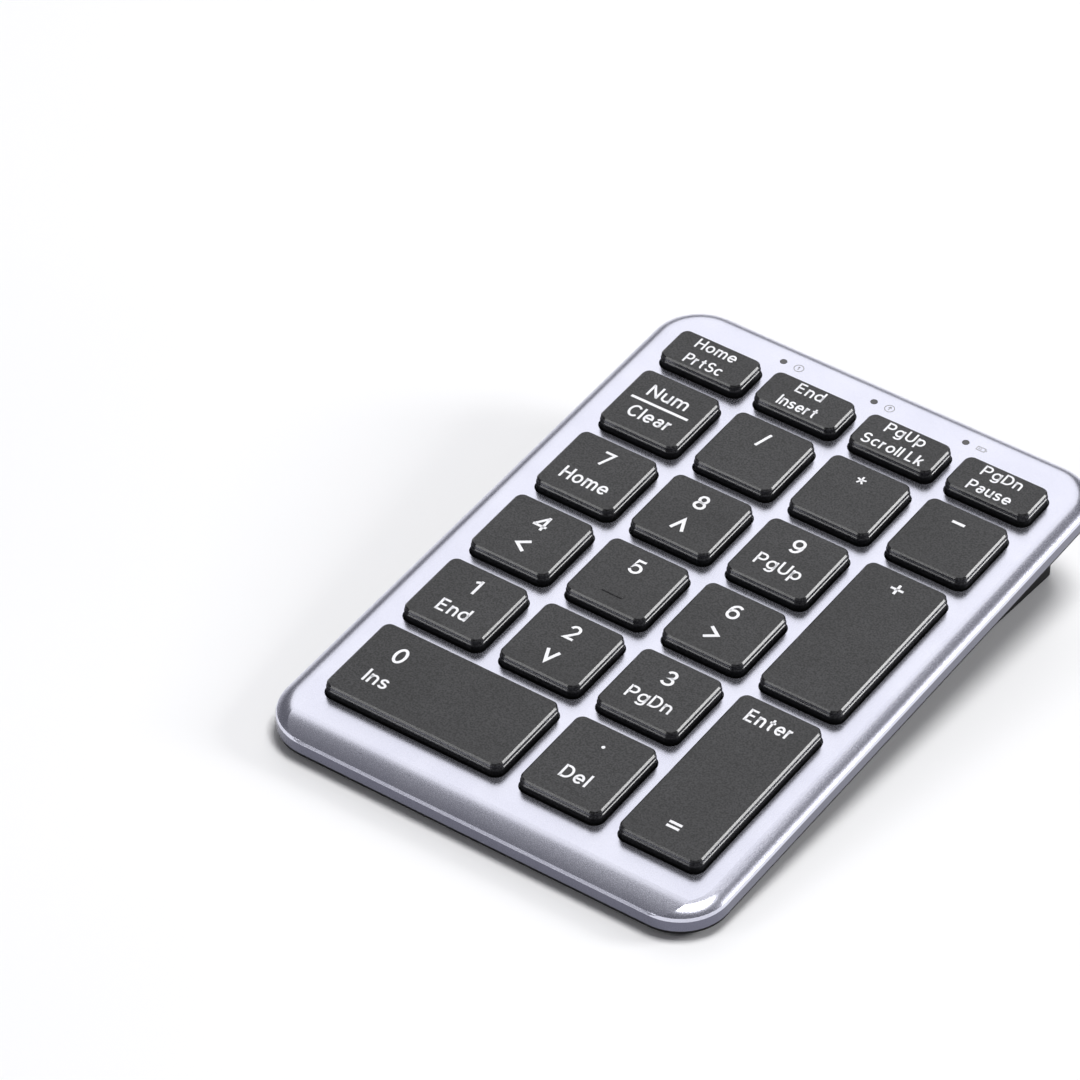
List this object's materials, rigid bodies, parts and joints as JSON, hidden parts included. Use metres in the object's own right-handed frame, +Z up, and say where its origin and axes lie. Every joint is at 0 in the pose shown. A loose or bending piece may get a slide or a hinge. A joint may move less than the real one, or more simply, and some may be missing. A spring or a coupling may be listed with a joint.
{
  "type": "numeric keypad",
  "caption": "Slim free-standing numeric keypad: silver housing tilted on a rear battery box, black low-profile scissor keys that travel, sliding battery door and power switch.",
  "frame": {"origin": "on the table plane (feet bottoms) under the middle of the housing's bounding box", "axes": "+Z up, +Y from the typist towards the back of the keypad, +X to the right"},
  "size_m": [0.0854, 0.1252, 0.022],
  "materials": {
    "silver": "bead-blasted, clear anodised, with a bright cut edge line",
    "black_plastic": "fine matte texture",
    "keycap": "fine matte texture with white printed legends",
    "link": "natural moulded",
    "wire": "drawn spring wire",
    "steel": "rolled sheet",
    "film": "clear polyester film with printed traces",
    "dome_rubber": "translucent silicone",
    "board": "solder mask",
    "lamp": "smoked clear acrylic",
    "cell": "plain wrapped can",
    "contact": "nickel-plated spring steel",
    "foot_rubber": "matte",
    "screw": "black zinc"
  },
  "bodies": {
    "housing": {"top_case": "silver", "bottom_cover": "black_plastic", "key_plate": "steel", "membrane_upper": "film", "membrane_spacer": "film", "membrane_lower": "film", "rubber_domes": "dome_rubber", "circuit_board": "board", "light_pipes": "lamp", "battery_cells": "cell", "battery_contacts": "contact", "rubber_feet": "foot_rubber", "screws": "screw", "scissor_home": "link", "scissor_end": "link", "scissor_page_up": "link", "scissor_page_down": "link", "scissor_num": "link", "scissor_divide": "link", "scissor_multiply": "link", "scissor_minus": "link", "scissor_seven": "link", "scissor_eight": "link", "scissor_nine": "link", "scissor_four": "link", "scissor_five": "link", "scissor_six": "link", "scissor_one": "link", "scissor_two": "link", "scissor_three": "link", "scissor_plus": "link", "scissor_enter": "link", "scissor_zero": "link", "scissor_decimal": "link"},
    "key_home": {"keycap_home": "keycap"},
    "key_end": {"keycap_end": "keycap"},
    "key_page_up": {"keycap_page_up": "keycap"},
    "key_page_down": {"keycap_page_down": "keycap"},
    "key_num": {"keycap_num": "keycap"},
    "key_divide": {"keycap_divide": "keycap"},
    "key_multiply": {"keycap_multiply": "keycap"},
    "key_minus": {"keycap_minus": "keycap"},
    "key_seven": {"keycap_seven": "keycap"},
    "key_eight": {"keycap_eight": "keycap"},
    "key_nine": {"keycap_nine": "keycap"},
    "key_four": {"keycap_four": "keycap"},
    "key_five": {"keycap_five": "keycap"},
    "key_six": {"keycap_six": "keycap"},
    "key_one": {"keycap_one": "keycap"},
    "key_two": {"keycap_two": "keycap"},
    "key_three": {"keycap_three": "keycap"},
    "key_plus": {"keycap_plus": "keycap"},
    "key_enter": {"keycap_enter": "keycap"},
    "key_zero": {"keycap_zero": "keycap"},
    "key_decimal": {"keycap_decimal": "keycap"},
    "wire_zero": {"stabilizer_zero": "wire"},
    "wire_plus": {"stabilizer_plus": "wire"},
    "wire_enter": {"stabilizer_enter": "wire"},
    "battery_door": {"battery_door": "black_plastic"},
    "power_slider": {"power_switch": "black_plastic"}
  },
  "joints": [
    {"name": "press_home", "type": "slide", "parent": "housing", "child": "key_home", "axis": [0, 0.1219, -0.9925], "range_m": [0, 0.0016], "stiffness_N_per_m": 220, "springref_m": -0.0011, "deforming": ["scissor_home", "rubber_domes"]},
    {"name": "press_end", "type": "slide", "parent": "housing", "child": "key_end", "axis": [0, 0.1219, -0.9925], "range_m": [0, 0.0016], "stiffness_N_per_m": 220, "springref_m": -0.0011, "deforming": ["scissor_end", "rubber_domes"]},
    {"name": "press_page_up", "type": "slide", "parent": "housing", "child": "key_page_up", "axis": [0, 0.1219, -0.9925], "range_m": [0, 0.0016], "stiffness_N_per_m": 220, "springref_m": -0.0011, "deforming": ["scissor_page_up", "rubber_domes"]},
    {"name": "press_page_down", "type": "slide", "parent": "housing", "child": "key_page_down", "axis": [0, 0.1219, -0.9925], "range_m": [0, 0.0016], "stiffness_N_per_m": 220, "springref_m": -0.0011, "deforming": ["scissor_page_down", "rubber_domes"]},
    {"name": "press_num", "type": "slide", "parent": "housing", "child": "key_num", "axis": [0, 0.1219, -0.9925], "range_m": [0, 0.0016], "stiffness_N_per_m": 220, "springref_m": -0.0011, "deforming": ["scissor_num", "rubber_domes"]},
    {"name": "press_divide", "type": "slide", "parent": "housing", "child": "key_divide", "axis": [0, 0.1219, -0.9925], "range_m": [0, 0.0016], "stiffness_N_per_m": 220, "springref_m": -0.0011, "deforming": ["scissor_divide", "rubber_domes"]},
    {"name": "press_multiply", "type": "slide", "parent": "housing", "child": "key_multiply", "axis": [0, 0.1219, -0.9925], "range_m": [0, 0.0016], "stiffness_N_per_m": 220, "springref_m": -0.0011, "deforming": ["scissor_multiply", "rubber_domes"]},
    {"name": "press_minus", "type": "slide", "parent": "housing", "child": "key_minus", "axis": [0, 0.1219, -0.9925], "range_m": [0, 0.0016], "stiffness_N_per_m": 220, "springref_m": -0.0011, "deforming": ["scissor_minus", "rubber_domes"]},
    {"name": "press_seven", "type": "slide", "parent": "housing", "child": "key_seven", "axis": [0, 0.1219, -0.9925], "range_m": [0, 0.0016], "stiffness_N_per_m": 220, "springref_m": -0.0011, "deforming": ["scissor_seven", "rubber_domes"]},
    {"name": "press_eight", "type": "slide", "parent": "housing", "child": "key_eight", "axis": [0, 0.1219, -0.9925], "range_m": [0, 0.0016], "stiffness_N_per_m": 220, "springref_m": -0.0011, "deforming": ["scissor_eight", "rubber_domes"]},
    {"name": "press_nine", "type": "slide", "parent": "housing", "child": "key_nine", "axis": [0, 0.1219, -0.9925], "range_m": [0, 0.0016], "stiffness_N_per_m": 220, "springref_m": -0.0011, "deforming": ["scissor_nine", "rubber_domes"]},
    {"name": "press_four", "type": "slide", "parent": "housing", "child": "key_four", "axis": [0, 0.1219, -0.9925], "range_m": [0, 0.0016], "stiffness_N_per_m": 220, "springref_m": -0.0011, "deforming": ["scissor_four", "rubber_domes"]},
    {"name": "press_five", "type": "slide", "parent": "housing", "child": "key_five", "axis": [0, 0.1219, -0.9925], "range_m": [0, 0.0016], "stiffness_N_per_m": 220, "springref_m": -0.0011, "deforming": ["scissor_five", "rubber_domes"]},
    {"name": "press_six", "type": "slide", "parent": "housing", "child": "key_six", "axis": [0, 0.1219, -0.9925], "range_m": [0, 0.0016], "stiffness_N_per_m": 220, "springref_m": -0.0011, "deforming": ["scissor_six", "rubber_domes"]},
    {"name": "press_one", "type": "slide", "parent": "housing", "child": "key_one", "axis": [0, 0.1219, -0.9925], "range_m": [0, 0.0016], "stiffness_N_per_m": 220, "springref_m": -0.0011, "deforming": ["scissor_one", "rubber_domes"]},
    {"name": "press_two", "type": "slide", "parent": "housing", "child": "key_two", "axis": [0, 0.1219, -0.9925], "range_m": [0, 0.0016], "stiffness_N_per_m": 220, "springref_m": -0.0011, "deforming": ["scissor_two", "rubber_domes"]},
    {"name": "press_three", "type": "slide", "parent": "housing", "child": "key_three", "axis": [0, 0.1219, -0.9925], "range_m": [0, 0.0016], "stiffness_N_per_m": 220, "springref_m": -0.0011, "deforming": ["scissor_three", "rubber_domes"]},
    {"name": "press_plus", "type": "slide", "parent": "housing", "child": "key_plus", "axis": [0, 0.1219, -0.9925], "range_m": [0, 0.0016], "stiffness_N_per_m": 260, "springref_m": -0.0011, "deforming": ["scissor_plus", "rubber_domes"]},
    {"name": "press_enter", "type": "slide", "parent": "housing", "child": "key_enter", "axis": [0, 0.1219, -0.9925], "range_m": [0, 0.0016], "stiffness_N_per_m": 260, "springref_m": -0.0011, "deforming": ["scissor_enter", "rubber_domes"]},
    {"name": "press_zero", "type": "slide", "parent": "housing", "child": "key_zero", "axis": [0, 0.1219, -0.9925], "range_m": [0, 0.0016], "stiffness_N_per_m": 260, "springref_m": -0.0011, "deforming": ["scissor_zero", "rubber_domes"]},
    {"name": "press_decimal", "type": "slide", "parent": "housing", "child": "key_decimal", "axis": [0, 0.1219, -0.9925], "range_m": [0, 0.0016], "stiffness_N_per_m": 220, "springref_m": -0.0011, "deforming": ["scissor_decimal", "rubber_domes"]},
    {"name": "swing_zero", "type": "hinge", "parent": "key_zero", "child": "wire_zero", "pos_m": [-0.019, -0.03865, 0.00903], "axis": [1, 0, 0], "range_deg": [-11.17, 0]},
    {"name": "swing_plus", "type": "hinge", "parent": "key_plus", "child": "wire_plus", "pos_m": [0.0233, 0.00467, 0.01435], "axis": [0, 0.9925, 0.1219], "range_deg": [-11.17, 0]},
    {"name": "swing_enter", "type": "hinge", "parent": "key_enter", "child": "wire_enter", "pos_m": [0.0233, -0.03438, 0.00955], "axis": [0, 0.9925, 0.1219], "range_deg": [-11.17, 0]},
    {"name": "door_slide", "type": "slide", "parent": "housing", "child": "battery_door", "axis": [0, 1, 0], "range_m": [0, 0.024]},
    {"name": "power_slide", "type": "slide", "parent": "housing", "child": "power_slider", "axis": [1, 0, 0], "range_m": [0, 0.002]}
  ],
  "couplings": [
    {"joint": "swing_zero", "follows": "press_zero", "rad_per_m": -121.27},
    {"joint": "swing_plus", "follows": "press_plus", "rad_per_m": -121.27},
    {"joint": "swing_enter", "follows": "press_enter", "rad_per_m": -121.27}
  ]
}
